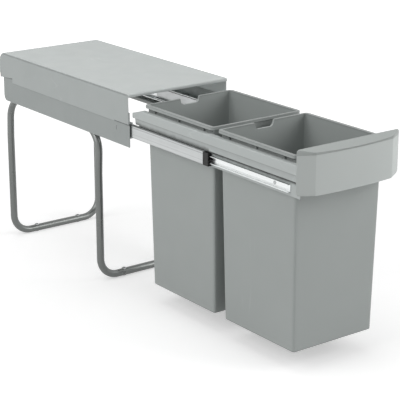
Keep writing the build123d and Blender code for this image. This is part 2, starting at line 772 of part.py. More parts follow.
with BuildPart() as front_panel:
    add(panel_block.part)
    add(panel_split.part, mode=Mode.SUBTRACT)
    add(panel_hollow.part, mode=Mode.SUBTRACT)
    with BuildSketch(across(front_bar_y)):
        with Locations(*boss_places):
            Circle(boss_diameter / 2)
    extrude(amount=front_bar_y - panel_face_y - (panel_bow + panel_wall) / 2)
    with BuildSketch(across(front_bar_y)):
        with Locations(*boss_places):
            Circle(panel_screw_diameter / 2)
    extrude(amount=panel_screw_bite, mode=Mode.SUBTRACT)
keep(front_panel, "front_panel")

with BuildPart() as grip_strip:
    add(panel_block.part)
    add(panel_split.part, mode=Mode.INTERSECT)
keep(grip_strip, "grip_strip")

with BuildPart() as panel_screws:
    with BuildSketch(across(front_bar_y + bar_sheet)):
        with Locations(*boss_places):
            Circle(panel_screw_diameter / 2)
    extrude(amount=bar_sheet + panel_screw_bite)
    with BuildSketch(across(front_bar_y + bar_sheet)):
        with Locations(*boss_places):
            Circle(panel_screw_head / 2)
    extrude(amount=-panel_screw_head_height)
keep(panel_screws, "panel_screws")


# Bins: tapered boxes whose rims rest on the carriage, each with a finger scoop at the back
def bin_box(centre_y, inset, bottom, top):
    """Tapered box with rounded corners, inset from the bin's outside; its taper is the bin's."""
    with BuildPart() as box:
        for z in (bottom, top):
            share = (z - bin_bottom) / (bin_rim_top - bin_bottom)
            width = bin_floor_width + share * (bin_mouth_width - bin_floor_width) - 2 * inset
            length = bin_floor_length + share * (bin_mouth_length - bin_floor_length) - 2 * inset
            with BuildSketch(Plane.XY.offset(z)):
                with Locations((0, centre_y)):
                    RectangleRounded(width, length, bin_corner_radius - inset)
        loft(ruled=True)
        fillet(box.faces().sort_by(Axis.Z)[0].edges(), bin_floor_round - inset)
    return box


def sorting_bin(centre_y):
    """One bin, with its turned-down rim and its finger scoop."""
    outside = bin_box(centre_y, 0, bin_bottom, bin_rim_top)
    cavity = bin_box(centre_y, bin_wall, bin_bottom + bin_floor, bin_rim_top + bin_wall)
    rim_width = bin_mouth_width + 2 * rim_side_reach
    rim_length = bin_mouth_length + 2 * rim_end_reach
    rim_radius = bin_corner_radius + rim_end_reach
    rim_back_y = centre_y + rim_length / 2
    with BuildPart() as rim:
        with BuildSketch(Plane.XY.offset(rim_bottom)):
            with Locations((0, centre_y)):
                RectangleRounded(rim_width, rim_length, rim_radius)
                RectangleRounded(rim_width - 2 * rim_thickness, rim_length - 2 * rim_thickness,
                                 rim_radius - rim_thickness, mode=Mode.SUBTRACT)
        extrude(amount=bin_rim_top - rim_bottom)
        with BuildSketch(Plane.XY.offset(bin_rim_top - rim_thickness)):
            with Locations((0, centre_y)):
                RectangleRounded(rim_width, rim_length, rim_radius)
        extrude(amount=rim_thickness)
        with BuildSketch(across(rim_back_y)):
            with Locations((0, bin_rim_top)):
                RectangleRounded(scoop_width + 2 * scoop_lip, 2 * (scoop_depth + scoop_lip),
                                 scoop_radius + scoop_lip)
            with Locations((0, bin_rim_top + scoop_depth)):
                Rectangle(2 * scoop_width, 2 * scoop_depth, mode=Mode.SUBTRACT)
        extrude(amount=rim_end_reach + 2 * bin_wall)
    with BuildPart() as body:
        add(outside.part)
        add(rim.part)
        add(cavity.part, mode=Mode.SUBTRACT)
        with BuildSketch(across(rim_back_y)):
            with Locations((0, bin_rim_top)):
                RectangleRounded(scoop_width, 2 * scoop_depth, scoop_radius)
        extrude(amount=rim_end_reach + 3 * bin_wall, mode=Mode.SUBTRACT)
    return body


keep(sorting_bin(rear_bin_y), "rear_bin")
keep(sorting_bin(front_bin_y), "front_bin")
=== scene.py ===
import json
import math

import bmesh
import bpy
import numpy as np
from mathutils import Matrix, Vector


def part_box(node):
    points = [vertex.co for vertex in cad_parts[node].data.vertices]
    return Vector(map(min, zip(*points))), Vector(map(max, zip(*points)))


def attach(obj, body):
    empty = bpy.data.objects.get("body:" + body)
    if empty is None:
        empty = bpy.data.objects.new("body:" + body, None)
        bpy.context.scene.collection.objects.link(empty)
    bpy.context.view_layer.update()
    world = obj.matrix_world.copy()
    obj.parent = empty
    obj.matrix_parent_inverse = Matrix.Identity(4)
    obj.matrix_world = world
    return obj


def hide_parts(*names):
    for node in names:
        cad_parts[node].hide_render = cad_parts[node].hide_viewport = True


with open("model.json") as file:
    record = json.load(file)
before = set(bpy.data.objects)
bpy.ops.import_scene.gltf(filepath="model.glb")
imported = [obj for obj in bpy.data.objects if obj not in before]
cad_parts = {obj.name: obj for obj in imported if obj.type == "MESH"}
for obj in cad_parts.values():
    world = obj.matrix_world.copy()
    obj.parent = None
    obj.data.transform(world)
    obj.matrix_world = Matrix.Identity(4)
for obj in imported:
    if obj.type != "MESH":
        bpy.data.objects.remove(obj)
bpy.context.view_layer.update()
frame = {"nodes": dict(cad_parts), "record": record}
nodes = frame["nodes"]

MM = 0.001
MERGE_DISTANCE = 1e-6
CAD_MERGE_DISTANCE = 2e-6

# Bins
BIN_FLOOR_HALF = (96.5 * MM, 103 * MM)
BIN_MOUTH_HALF = (104 * MM, 108.5 * MM)
BIN_WALL = 2 * MM
BIN_FLOOR = 2.5 * MM
BIN_CORNER = 5 * MM
BIN_FOOT_LIFT = 0.8 * MM
BIN_FOOT_INSET = 8 * MM
BIN_SOLE_INSET = 10 * MM
BIN_BENDS = np.array([0, 2, 2, 3, 0.6, 0.7, 1.6, 0.9, 3, 0]) * MM
BIN_SPACING = 14 * MM
BIN_SIDE_POINTS = 25
BIN_WALL_FROM = 80 * MM
BIN_REAR_FROM = 90 * MM
BIN_RIM_MARGIN = 4 * MM
SEAT_DEPTH = 12.9 * MM
RIM_DROP = 6.2 * MM
STUD_RADIUS = 2 * MM
STUD_INSET = 4.2 * MM
STUD_PLACES = (-80 * MM, 0.0, 80 * MM)
WALL_SAG = 0.5 * MM
SCOOP_HALF = 23 * MM
SCOOP_DEPTH = 13 * MM
SCOOP_RADIUS = 9 * MM
SCOOP_SIDE = 1.2 * MM
SCOOP_LIP = 1.8 * MM
SCOOP_CLOSE_POINTS = np.arange(12, 28, 1.0) * MM

# Front panel
PANEL_BAND = 8 * MM
PANEL_FACET = 31 * MM
PANEL_BOW = 5 * MM
PANEL_ROUND = 0.8 * MM
PANEL_CORNER = 6 * MM
PANEL_PLAN_ROUND = 1.6 * MM
PANEL_SPACING = 8 * MM
PANEL_BOW_POINTS = 33
PANEL_WALL_POINTS = 13
PANEL_EDGE_STEPS = 5
PANEL_EDGE_HOLD = 0.6 * MM
BOSS_RADIUS = 4.5 * MM
BOSS_DRAFT = 0.5 * MM
BOSS_ROOT = 2 * MM
BOSS_PLACES = [(x * MM, z * MM) for z in (370, 396) for x in (-70, 70)]

# Lid
LID_SHEET = 2 * MM
LID_HEM = 7 * MM
LID_FRONT_ROUND = 3 * MM
LID_REAR_ROUND = 25 * MM
LID_SPACING = 12 * MM
LID_EDGE_HOLD = 2 * MM
LID_EDGE_STEPS = 5
LID_CURVE_STEPS = 15
LID_WIDTH_POINTS = 21

# Rounded edges of the CAD pieces: which edges count as sharp, and which faces as one flat face
SHARP_EDGE = math.radians(38)
FLAT_EDGE = math.radians(0.5)

# Share of a side that a bend may take, without and with its holding point
BEND_SHARE = 0.45
HOLD_SHARE = 0.49

# How clear of a line's own points a new one has to be, as a share of the distance between new ones
MARK_CLEARANCE = 0.3

# A direction with a larger part along one axis than this belongs to a flat side
FLAT_SIDE = 0.99

TURN_STEPS = 20


# Meshes
def smooth_object(name, mesh):
    """An object at the origin that shows this mesh, shaded smooth."""
    mesh.polygons.foreach_set("use_smooth", np.ones(len(mesh.polygons), bool))
    piece = bpy.data.objects.new(name, mesh)
    bpy.context.scene.collection.objects.link(piece)
    return piece


def grid_piece(name, points):
    """Mesh of a grid of points: four neighbours make a face, rows run along and columns around.

    The columns close on themselves. Points that fall together, as at a pole, are merged, and the
    faces are turned to point out of the closed form.
    """
    rows, columns = points.shape[:2]
    index = np.arange(rows * columns).reshape(rows, columns)
    here, there = index[:-1], index[1:]
    quads = np.stack([here, np.roll(here, -1, 1), np.roll(there, -1, 1), there], -1).reshape(-1, 4)
    mesh = bpy.data.meshes.new(name)
    mesh.from_pydata(points.reshape(-1, 3).tolist(), [], quads.tolist())
    shape = bmesh.new()
    shape.from_mesh(mesh)
    bmesh.ops.remove_doubles(shape, verts=shape.verts, dist=MERGE_DISTANCE)
    bmesh.ops.dissolve_degenerate(shape, dist=MERGE_DISTANCE, edges=shape.edges)
    bmesh.ops.recalc_face_normals(shape, faces=shape.faces)
    shape.to_mesh(mesh)
    shape.free()
    return smooth_object(name, mesh)


def eased(corners, reach, hold=0.6 * MM, steps=5):
    """Line through the corners whose bends are eased: each bend is a quadratic curve from the point
    at most reach before it to the one after it, with one more point just beyond each end, so that
    the flat faces stay flat. A bend never takes more than its share of the shorter side.
    """
    corners = np.asarray(corners, float)
    reach = np.broadcast_to(reach, len(corners))[1:-1, None]
    before, bend, after = corners[:-2], corners[1:-1], corners[2:]
    side_before = np.linalg.norm(before - bend, axis=1, keepdims=True)
    side_after = np.linalg.norm(after - bend, axis=1, keepdims=True)
    reach = np.minimum(reach, BEND_SHARE * np.minimum(side_before, side_after))
    way_before, way_after = (before - bend) / side_before, (after - bend) / side_after
    start, end = bend + reach * way_before, bend + reach * way_after
    far_start = bend + np.minimum(reach + hold, HOLD_SHARE * side_before) * way_before
    far_end = bend + np.minimum(reach + hold, HOLD_SHARE * side_after) * way_after
    t = np.linspace(0, 1, steps)[:, None]
    curve = (1 - t) ** 2 * start[:, None] + 2 * t * (1 - t) * bend[:, None] + t**2 * end[:, None]
    bends = np.concatenate([far_start[:, None], curve, far_end[:, None]], axis=1)
    return np.concatenate([corners[:1], bends.reshape(-1, corners.shape[1]), corners[-1:]])


def divided(line, longest):
    """The same line with more points, at marks a regular distance apart that lie clear of its own."""
    steps = np.linalg.norm(np.diff(line, axis=0), axis=1)
    along = np.concatenate([[0], np.cumsum(steps)])
    marks = np.arange(longest, along[-1], longest)
    nearest = np.abs(marks[:, None] - along).min(axis=1)
    places = np.sort(np.concatenate([along, marks[nearest > MARK_CLEARANCE * longest]]))
    return np.stack([np.interp(places, along, line[:, n]) for n in range(line.shape[1])], -1)


def box_outline(side_shares, corner_steps=7):
    """Outline of a rounded rectangle, as the place of each point's corner circle and its direction.

    Side_shares run from -1 to 1 along each side. A point is the corner circle's centre, scaled to
    the half sizes, plus the radius times the direction, so that one outline serves every size.
    """
    quarter = np.linspace(0, np.pi / 2, corner_steps)[1:-1]
    centres, directions = [], []
    for turn in range(4):
        angle = turn * np.pi / 2
        spin = np.array([[np.cos(angle), np.sin(angle)], [-np.sin(angle), np.cos(angle)]])
        side = np.stack([np.ones_like(side_shares), side_shares], -1)
        bend = np.stack([np.cos(quarter), np.sin(quarter)], -1)
        centres += [side @ spin, np.broadcast_to([1.0, 1.0], bend.shape) @ spin]
        directions += [np.broadcast_to([1.0, 0.0], side.shape) @ spin, bend @ spin]
    return np.concatenate(centres), np.concatenate(directions)


def scoop_depth(x):
    """How deep the finger scoop is at x: flat, then an arc of its corner radius, then a steep side."""
    out = np.abs(x)
    arc = np.clip(out - (SCOOP_HALF - SCOOP_RADIUS), 0, SCOOP_RADIUS)
    depth = SCOOP_DEPTH - SCOOP_RADIUS + np.sqrt(SCOOP_RADIUS**2 - arc**2)
    side = np.clip((SCOOP_HALF + SCOOP_SIDE - out) / SCOOP_SIDE, 0, 1)
    return depth * side * side * (3 - 2 * side)


def bin_piece(node):
    """A bin as one closed skin: a profile of half width, half length, corner radius and height runs
    up the outside, over the turned-down rim and down the inside, carried around a rounded rectangle.
    Walls sag inwards by a sine over their height; the rim sinks into the finger scoop at the back.
    """
    low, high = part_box(node)
    centre = (low.y + high.y) / 2
    bottom, top = low.z, high.z
    rim_half = np.array([(high.x - low.x) / 2, (high.y - low.y) / 2])
    floor_half, mouth_half = np.array(BIN_FLOOR_HALF), np.array(BIN_MOUTH_HALF)

    def ring(height, inset, corner):
        share = (height - bottom) / (top - bottom)
        half = floor_half + share * (mouth_half - floor_half) - inset
        return [*half, corner, height]

    pole = [0, 0, 0]
    inner_corner = BIN_CORNER - BIN_WALL
    rim_corner = BIN_CORNER + rim_half[1] - mouth_half[1]
    hem_z = top - RIM_DROP
    foot = ring(bottom, BIN_FOOT_INSET, BIN_CORNER)
    sole = ring(bottom + BIN_FOOT_LIFT, BIN_SOLE_INSET, BIN_CORNER)
    corners = [
        [*pole, bottom + BIN_FOOT_LIFT], sole, foot, ring(bottom, 0, BIN_CORNER),
        ring(hem_z, 0, BIN_CORNER), [*rim_half, rim_corner, hem_z], [*rim_half, rim_corner, top],
        ring(top, BIN_WALL, inner_corner), ring(bottom + BIN_FLOOR, BIN_WALL, inner_corner),
        [*pole, bottom + BIN_FLOOR],
    ]
    profile = divided(eased(corners, BIN_BENDS), BIN_SPACING)
    near_scoop = SCOOP_CLOSE_POINTS / mouth_half[0]
    shares = np.unique(np.concatenate([-near_scoop, near_scoop, np.linspace(-1, 1, BIN_SIDE_POINTS)]))
    centres, directions = box_outline(shares)
    half, corner, height = profile[:, None, :2], profile[:, None, 2:3], profile[:, None, 3]
    flat = centres * (half - corner) + directions * corner
    rise = np.clip((height - bottom) / (top - SEAT_DEPTH - bottom), 0, 1)
    half_width = profile[:, 0][:, None]
    on_wall = (np.abs(half_width - rim_half[0]) > BIN_RIM_MARGIN) & (half_width > BIN_WALL_FROM)
    sag = WALL_SAG * np.sin(np.pi * rise) * on_wall
    faces_x, faces_y = (np.abs(directions) > FLAT_SIDE).T
    middle = np.where(faces_x, 1 - centres[:, 1] ** 2, np.where(faces_y, 1 - centres[:, 0] ** 2, 0))
    flat = flat - directions * (sag * middle)[..., None]
    lip = top - SCOOP_DEPTH - SCOOP_LIP
    sink = np.clip((height - lip) / (top - lip), 0, 1) * (flat[..., 1] > BIN_REAR_FROM)
    z = height - sink * scoop_depth(flat[..., 0])
    points = np.stack([flat[..., 0], flat[..., 1] + centre, z], -1)
    return grid_piece(node + "_shell", points)


def stud_profile(low, high, radius):
    """Radius and height of a short stud with rounded ends, from one pole to the other."""
    corners = [[0, low], [radius, low], [radius, high], [0, high]]
    return eased(corners, 0.5 * MM, 0.3 * MM, 3)


def panel_outline(half, back, front):
    """Panel seen from above: straight back, two facets and a face bowed as a parabola."""
    facet_x, facet_y = half - PANEL_FACET, front + PANEL_BOW
    bow = np.linspace(-1, 1, PANEL_BOW_POINTS)
    face = np.stack([bow * facet_x, facet_y - PANEL_BOW * (1 - bow**2)], -1)
    corners = np.concatenate([[[0, back], [-half, back]], face, [[half, back], [0, back]]])
    return divided(eased(corners, PANEL_PLAN_ROUND, 0.5 * MM, 4), PANEL_SPACING)[:-1]


def panel_piece(name, box, bottom_of, top_of):
    """Closed block over the panel's outline. From the middle of its underside to the middle of its
    top, the outline is inset by a quarter circle at both edges and carried between two heights that
    follow y. Where the box of the whole panel ends, the facets are cut back by its corner circle.
    """
    low, high = box
    outline = panel_outline(high.x, high.y, low.y)
    middle = np.array([0, (high.y + low.y) / 2])
    turn = np.linspace(0, np.pi / 2, PANEL_EDGE_STEPS)
    walls = np.linspace(0, 1, PANEL_WALL_POINTS)[1:-1]
    hold = [PANEL_ROUND + PANEL_EDGE_HOLD]
    inset = np.concatenate([hold, PANEL_ROUND * (1 - np.sin(turn)), 0 * walls,
                            PANEL_ROUND * (1 - np.cos(turn)), hold])
    rise = np.concatenate([[0], PANEL_ROUND * (1 - np.cos(turn)), 0 * walls,
                           -PANEL_ROUND * (1 - np.sin(turn)), [0]])
    share = np.concatenate([np.zeros(PANEL_EDGE_STEPS + 1), walls, np.ones(PANEL_EDGE_STEPS + 1)])
    way = middle - outline
    way = way / np.linalg.norm(way, axis=1, keepdims=True)
    flat = outline + inset[:, None, None] * way
    flat = np.concatenate([0 * flat[:1] + middle, flat, 0 * flat[:1] + middle])
    share, rise = np.pad(share, 1, mode="edge"), np.pad(rise, 1)
    low_z, high_z = bottom_of(flat[..., 1]), top_of(flat[..., 1])
    z = low_z + share[:, None] * (high_z - low_z) + rise[:, None]
    near_end = np.clip(PANEL_CORNER - np.minimum(z - low.z, high.z - z), 0, PANEL_CORNER)
    cut = PANEL_CORNER - np.sqrt(PANEL_CORNER**2 - near_end**2)
    outer = np.clip(np.abs(flat[..., 0]) / high.x, 0, 1) ** 4
    x = flat[..., 0] - np.sign(flat[..., 0]) * cut * outer
    return grid_piece(name, np.stack([x, flat[..., 1], z], -1))


def turned_piece(name, profile, centre, axis):
    """A profile of radius and height, turned in steps around an axis (X, Y or Z) through a centre."""
    angle = np.linspace(0, 2 * np.pi, TURN_STEPS + 1)[:-1]
    radius, height = profile[:, 0][:, None], profile[:, 1][:, None]
    first, second = radius * np.cos(angle), radius * np.sin(angle)
    places = [first, second]
    places.insert("XYZ".index(axis), height + 0 * angle)
    return grid_piece(name, np.stack(places, -1) + np.array(centre))


def softened_piece(node, width):
    """Copy of a CAD node, merged, its flat areas joined, its sharp edges rounded by a Bevel modifier,
    and its flat faces kept evenly shaded by a Weighted Normal modifier.
    """
    mesh = nodes[node].data.copy()
    shape = bmesh.new()
    shape.from_mesh(mesh)
    bmesh.ops.remove_doubles(shape, verts=shape.verts, dist=CAD_MERGE_DISTANCE)
    bmesh.ops.dissolve_limit(shape, angle_limit=FLAT_EDGE, verts=shape.verts, edges=shape.edges)
    shape.to_mesh(mesh)
    shape.free()
    piece = smooth_object(node + "_soft", mesh)
    rounding = piece.modifiers.new("edge_rounding", "BEVEL")
    rounding.width = width
    rounding.segments = 2
    rounding.limit_method = "ANGLE"
    rounding.angle_limit = SHARP_EDGE
    rounding.use_clamp_overlap = True
    evening = piece.modifiers.new("even_faces", "WEIGHTED_NORMAL")
    evening.mode = "FACE_AREA"
    evening.weight = 100
    return piece


def lid_piece(node):
    """The lid's bent sheet: its middle line runs up the front hem, along the top and down the rear
    curve, and stands off by half the sheet to both sides along its normals. Towards both ends of the
    width, and at both ends of the line, the half sheet shrinks as a quarter circle does.
    """
    low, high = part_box(node)
    half_sheet = LID_SHEET / 2
    top, rear = high.z - half_sheet, high.y - half_sheet
    bend = LID_REAR_ROUND - half_sheet
    turn = np.linspace(0, np.pi / 2, LID_CURVE_STEPS)
    curve = np.stack([rear - bend + bend * np.sin(turn), top - bend + bend * np.cos(turn)], -1)
    front = eased([[low.y + half_sheet, high.z - LID_HEM], [low.y + half_sheet, top], curve[0]],
                  LID_FRONT_ROUND, 1 * MM, 7)
    line = divided(np.concatenate([front, curve[1:], [[rear, low.z]]]), LID_SPACING)
    along = np.concatenate([[0], np.cumsum(np.linalg.norm(np.diff(line, axis=0), axis=1))])
    ends = np.array([0, 0.15, 0.5, 1]) * half_sheet
    places = np.sort(np.concatenate([along[1:-1], ends, along[-1] - ends]))
    places = places[np.concatenate([[True], np.diff(places) > 1e-5])]
    line = np.stack([np.interp(places, along, line[:, n]) for n in range(2)], -1)
    way = np.gradient(line, axis=0)
    normal = np.stack([-way[:, 1], way[:, 0]], -1) / np.linalg.norm(way, axis=1, keepdims=True)
    margin = np.clip(np.minimum(places, places[-1] - places) / half_sheet, 0, 1)
    edge = half_sheet * (1 - np.cos(np.linspace(0, np.pi / 2, LID_EDGE_STEPS)))
    width = high.x - low.x
    flat = np.linspace(LID_SPACING, width - LID_SPACING, LID_WIDTH_POINTS)
    across = np.concatenate([edge, [LID_EDGE_HOLD], flat, [width - LID_EDGE_HOLD], width - edge[::-1]])
    side = np.clip(np.minimum(across, across[-1] - across) / half_sheet, 0, 1)
    depth = half_sheet * np.sqrt(1 - (1 - side[:, None]) ** 2) * np.sqrt(1 - (1 - margin) ** 2)
    upper = line + depth[..., None] * normal
    lower = line - depth[..., None] * normal
    skin = np.concatenate([upper, lower[:, ::-1]], axis=1)
    x = np.broadcast_to((low.x + across)[:, None, None], skin[..., :1].shape)
    return grid_piece(node + "_sheet", np.concatenate([x, skin], -1))


# Colours and finishes
DUST_COLOUR = (0.80, 0.79, 0.77)
RUB_WIDTH = 3 * MM
NO_FRONT_END = -2.0
NO_REAR_END = 1.0


def put(tree, kind, values=None, **settings):
    """Adds a node with its settings, and links or fills its inputs."""
    node = tree.nodes.new(kind)
    for key, value in settings.items():
        setattr(node, key, value)
    for key, value in (values or {}).items():
        socket = node.inputs[key]
        if isinstance(value, bpy.types.NodeSocket):
            tree.links.new(value, socket)
        else:
            socket.default_value = value
    return node


def shared(name, inputs, outputs):
    """An empty node group with the named inputs and outputs, and its two end nodes."""
    group = bpy.data.node_groups.new(name, "ShaderNodeTree")
    for label, kind, value in inputs:
        socket = group.interface.new_socket(label, in_out="INPUT", socket_type="NodeSocket" + kind)
        if value is not None:
            socket.default_value = value
    for label, kind in outputs:
        group.interface.new_socket(label, in_out="OUTPUT", socket_type="NodeSocket" + kind)
    return group, group.nodes.new("NodeGroupInput"), group.nodes.new("NodeGroupOutput")


def maths(tree, operation, first, second=0.0):
    """Result of a sum on two numbers or sockets."""
    return put(tree, "ShaderNodeMath", {0: first, 1: second}, operation=operation).outputs[0]


def make_tone_drift():
    """Colour times one plus an amount of slow noise, so that large faces aren't all one tone."""
    group, start, end = shared("tone_drift", [
        ("Color", "Color", (0.5, 0.5, 0.5, 1)), ("Position", "Vector", None), ("Scale", "Float", 6.0),
        ("Amount", "Float", 0.03)], [("Color", "Color")])
    slow = put(group, "ShaderNodeTexNoise", {
        "Vector": start.outputs["Position"], "Scale": start.outputs["Scale"],
        "Detail": 3.0, "Roughness": 0.55})
    swing = maths(group, "SUBTRACT", slow.outputs[0], 0.5)
    swing = maths(group, "MULTIPLY", swing, start.outputs["Amount"])
    gain = maths(group, "ADD", maths(group, "MULTIPLY", swing, 2.0), 1.0)
    colour = put(group, "ShaderNodeVectorMath",
                 {0: start.outputs["Color"], "Scale": gain}, operation="SCALE")
    group.links.new(colour.outputs[0], end.inputs["Color"])
    return group


def make_grain():
    """Height of a fine grain, two noises of which the smaller one weighs less, and a slow mottle."""
    group, start, end = shared("fine_grain", [("Position", "Vector", None), ("Scale", "Float", 900.0)],
                               [("Height", "Float"), ("Mottle", "Float")])
    coarse = put(group, "ShaderNodeTexNoise", {
        "Vector": start.outputs["Position"], "Scale": start.outputs["Scale"], "Detail": 1.0})
    finer = put(group, "ShaderNodeTexNoise", {
        "Vector": start.outputs["Position"], "Scale": maths(group, "MULTIPLY", start.outputs["Scale"], 2.6),
        "Detail": 0.0})
    both = maths(group, "ADD", coarse.outputs[0], maths(group, "MULTIPLY", finer.outputs[0], 0.4))
    group.links.new(both, end.inputs["Height"])
    blotch = put(group, "ShaderNodeTexNoise", {
        "Vector": start.outputs["Position"], "Scale": maths(group, "MULTIPLY", start.outputs["Scale"], 0.04),
        "Detail": 2.0})
    group.links.new(blotch.outputs[0], end.inputs["Mottle"])
    return group


def make_scuffs():
    """Mask of sparse hair-thin marks: the zero line of a stretched noise, where a slower noise allows."""
    group, start, end = shared("scuffs", [
        ("Position", "Vector", None), ("Scale", "Float", 14.0), ("Stretch", "Vector", (1, 1, 1)),
        ("Share", "Float", 0.5)], [("Mask", "Float")])
    stretched = put(group, "ShaderNodeVectorMath",
                    {0: start.outputs["Position"], 1: start.outputs["Stretch"]}, operation="MULTIPLY")
    wavy = put(group, "ShaderNodeTexNoise", {
        "Vector": stretched.outputs[0], "Scale": start.outputs["Scale"], "Detail": 2.0, "Distortion": 0.6})
    off = maths(group, "ABSOLUTE", maths(group, "SUBTRACT", wavy.outputs[0], 0.5))
    line = put(group, "ShaderNodeMapRange", {"Value": off, "From Min": 0.0, "From Max": 0.006,
                                             "To Min": 1.0, "To Max": 0.0})
    where = put(group, "ShaderNodeTexNoise", {
        "Vector": start.outputs["Position"], "Scale": maths(group, "MULTIPLY", start.outputs["Scale"], 0.9),
        "Detail": 1.0})
    level = maths(group, "SUBTRACT", 1.0, start.outputs["Share"])
    gate = put(group, "ShaderNodeMapRange", {"Value": where.outputs[0], "From Min": level,
                                             "From Max": maths(group, "ADD", level, 0.08)})
    group.links.new(maths(group, "MULTIPLY", line.outputs[0], gate.outputs[0]), end.inputs["Mask"])
    return group


def make_dust():
    """Mask of settled dust: how far a face looks up, times a cloudy noise."""
    group, start, end = shared("settled_dust", [("Position", "Vector", None), ("Amount", "Float", 0.2)],
                               [("Mask", "Float")])
    facing = put(group, "ShaderNodeNewGeometry")
    up = put(group, "ShaderNodeSeparateXYZ", {0: facing.outputs["Normal"]})
    level = put(group, "ShaderNodeMapRange", {"Value": up.outputs["Z"], "From Min": 0.5, "From Max": 1.0})
    cloud = put(group, "ShaderNodeTexNoise",
                {"Vector": start.outputs["Position"], "Scale": 22.0, "Detail": 5.0})
    soft = put(group, "ShaderNodeMapRange", {"Value": cloud.outputs[0], "From Min": 0.35, "From Max": 0.75})
    mask = maths(group, "MULTIPLY", level.outputs[0], soft.outputs[0])
    group.links.new(maths(group, "MULTIPLY", mask, start.outputs["Amount"]), end.inputs["Mask"])
    return group


def make_drawn_lines():
    """Height and tone of fine lines along Y, as drawing leaves them: noise squeezed along Y."""
    group, start, end = shared("drawn_lines", [("Position", "Vector", None)],
                               [("Height", "Float"), ("Tone", "Float")])
    squeezed = put(group, "ShaderNodeVectorMath",
                   {0: start.outputs["Position"], 1: (1.0, 0.012, 1.0)}, operation="MULTIPLY")
    fine, broad = [put(group, "ShaderNodeTexNoise",
                       {"Vector": squeezed.outputs[0], "Scale": scale, "Detail": 2.0})
                   for scale in (1800.0, 300.0)]
    group.links.new(fine.outputs[0], end.inputs["Height"])
    group.links.new(broad.outputs[0], end.inputs["Tone"])
    return group


def make_edge_rub():
    """Mask of worn edges of a box: near two faces at once, broken up by noise."""
    group, start, end = shared("edge_rub", [
        ("Position", "Vector", None), ("Centre", "Vector", (0, 0, 0)), ("Half", "Vector", (0.1, 0.1, 0.1)),
        ("Width", "Float", 0.003)], [("Mask", "Float")])
    offset = put(group, "ShaderNodeVectorMath",
                 {0: start.outputs["Position"], 1: start.outputs["Centre"]}, operation="SUBTRACT")
    size = put(group, "ShaderNodeVectorMath", {0: offset.outputs[0]}, operation="ABSOLUTE")
    depth = put(group, "ShaderNodeVectorMath",
                {0: start.outputs["Half"], 1: size.outputs[0]}, operation="SUBTRACT")
    parts = put(group, "ShaderNodeSeparateXYZ", {0: depth.outputs[0]})
    near = [put(group, "ShaderNodeMapRange", {
        "Value": parts.outputs[axis], "From Min": 0.0, "From Max": start.outputs["Width"],
        "To Min": 1.0, "To Max": 0.0}, interpolation_type="SMOOTHSTEP").outputs[0] for axis in "XYZ"]
    pairs = [maths(group, "MULTIPLY", near[a], near[b]) for a, b in ((0, 1), (1, 2), (0, 2))]
    edge = maths(group, "MAXIMUM", maths(group, "MAXIMUM", pairs[0], pairs[1]), pairs[2])
    broken = put(group, "ShaderNodeTexNoise",
                 {"Vector": start.outputs["Position"], "Scale": 90.0, "Detail": 4.0})
    gate = put(group, "ShaderNodeMapRange", {"Value": broken.outputs[0], "From Min": 0.42, "From Max": 0.62})
    group.links.new(maths(group, "MULTIPLY", edge, gate.outputs[0]), end.inputs["Mask"])
    return group


def make_painted_shade_band():
    """Mask of painted shade along a level seam: full at the seam's height and gone a width below it, or above
    it where the width is negative, with the far edge broken up by noise. It ends at the front and rear limits
    of the seam, and leaves out what is nearer to the middle plane than Inside.
    """
    group, start, end = shared("seam_grime", [
        ("Position", "Vector", None), ("Height", "Float", 0.4), ("Width", "Float", 0.004),
        ("Front", "Float", -1.0), ("Rear", "Float", 1.0), ("Inside", "Float", 0.0)], [("Mask", "Float")])
    parts = put(group, "ShaderNodeSeparateXYZ", {0: start.outputs["Position"]})
    patch = put(group, "ShaderNodeTexNoise",
                {"Vector": start.outputs["Position"], "Scale": 60.0, "Detail": 4.0})
    wander = maths(group, "MULTIPLY", maths(group, "SUBTRACT", patch.outputs[0], 0.5), 0.5)
    depth = maths(group, "SUBTRACT", start.outputs["Height"], parts.outputs["Z"])
    share = maths(group, "DIVIDE", depth, start.outputs["Width"])
    fade = put(group, "ShaderNodeMapRange", {
        "Value": maths(group, "ADD", share, wander), "To Min": 1.0, "To Max": 0.0},
               interpolation_type="SMOOTHSTEP")
    behind = maths(group, "GREATER_THAN", parts.outputs["Y"], start.outputs["Front"])
    before = maths(group, "LESS_THAN", parts.outputs["Y"], start.outputs["Rear"])
    clear = maths(group, "GREATER_THAN", share, 0.0)
    from_middle = maths(group, "ABSOLUTE", parts.outputs["X"])
    outside = maths(group, "GREATER_THAN", from_middle, start.outputs["Inside"])
    ends = maths(group, "MULTIPLY", behind, before)
    within = maths(group, "MULTIPLY", maths(group, "MULTIPLY", clear, outside), ends)
    group.links.new(maths(group, "MULTIPLY", fade.outputs[0], within), end.inputs["Mask"])
    return group


EFFECTS = {name: make() for name, make in {
    "tone_drift": make_tone_drift, "fine_grain": make_grain, "scuffs": make_scuffs,
    "settled_dust": make_dust, "drawn_lines": make_drawn_lines, "edge_rub": make_edge_rub,
    "seam_grime": make_painted_shade_band}.items()}


def effect(tree, name, values):
    """Places a shared effect with this material's own values."""
    node = tree.nodes.new("ShaderNodeGroup")
    node.node_tree = EFFECTS[name]
    for key, value in values.items():
        if isinstance(value, bpy.types.NodeSocket):
            tree.links.new(value, node.inputs[key])
        else:
            node.inputs[key].default_value = value
    return node


def linear(colour):
    """A colour as seen on screen, 0 to 1, turned into the light values that a shader takes."""
    seen = np.asarray(colour, float)
    light = np.where(seen <= 0.04045, seen / 12.92, ((seen + 0.055) / 1.055) ** 2.4)
    return (*light.tolist(), 1.0)


